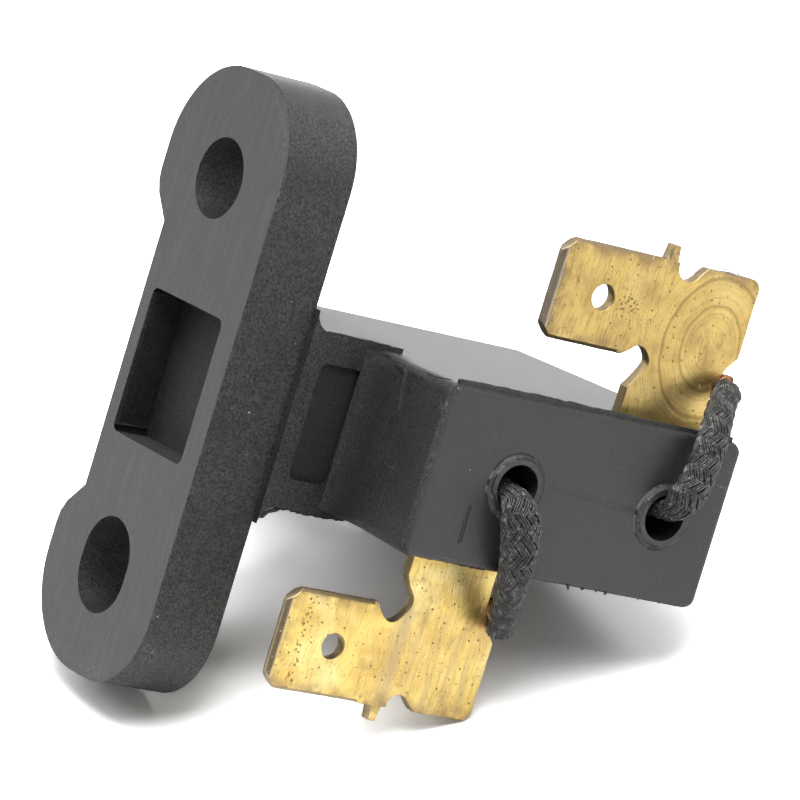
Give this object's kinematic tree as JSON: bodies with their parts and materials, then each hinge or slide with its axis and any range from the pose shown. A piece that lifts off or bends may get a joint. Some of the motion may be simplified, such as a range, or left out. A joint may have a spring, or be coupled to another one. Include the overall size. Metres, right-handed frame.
{
  "type": "brush holder",
  "caption": "Slip-ring brush holder: moulded flange and block with sprung carbon brushes, braided leads and brass blade terminals.",
  "frame": {"origin": "centre of the flange's outer face, midway between its two holes", "axes": "+X from the flange to the block's tip; +Y the way the brushes point; +Z along the flange from the slotted hole to the round one"},
  "size_m": [0.0322, 0.0346, 0.0382],
  "materials": {
    "plastic": "fine moulded grain, black thermoset",
    "carbon": "pressed carbon, dull",
    "copper": "bare copper strands and powder",
    "spring": "drawn spring wire",
    "braid": "woven sleeve with a slight sheen",
    "brass": "stamped sheet, lightly tarnished"
  },
  "bodies": {
    "holder": {"holder": "plastic", "inner_terminal": "brass", "outer_terminal": "brass", "inner_weld": "copper", "outer_weld": "copper", "inner_sleeve": "braid", "outer_sleeve": "braid", "inner_pigtail": "copper", "outer_pigtail": "copper", "inner_spring": "spring", "outer_spring": "spring"},
    "inner_brush": {"inner_brush": "carbon", "inner_packing": "copper"},
    "outer_brush": {"outer_brush": "carbon", "outer_packing": "copper"}
  },
  "joints": [
    {"name": "inner_brush_slide", "type": "slide", "parent": "holder", "child": "inner_brush", "axis": [0, 1, 0], "range_m": [-0.0065, 0], "stiffness_N_per_m": 250, "springref_m": 0.008, "deforming": ["inner_spring", "inner_pigtail"]},
    {"name": "outer_brush_slide", "type": "slide", "parent": "holder", "child": "outer_brush", "axis": [0, 1, 0], "range_m": [-0.0065, 0], "stiffness_N_per_m": 250, "springref_m": 0.008, "deforming": ["outer_spring", "outer_pigtail"]}
  ]
}
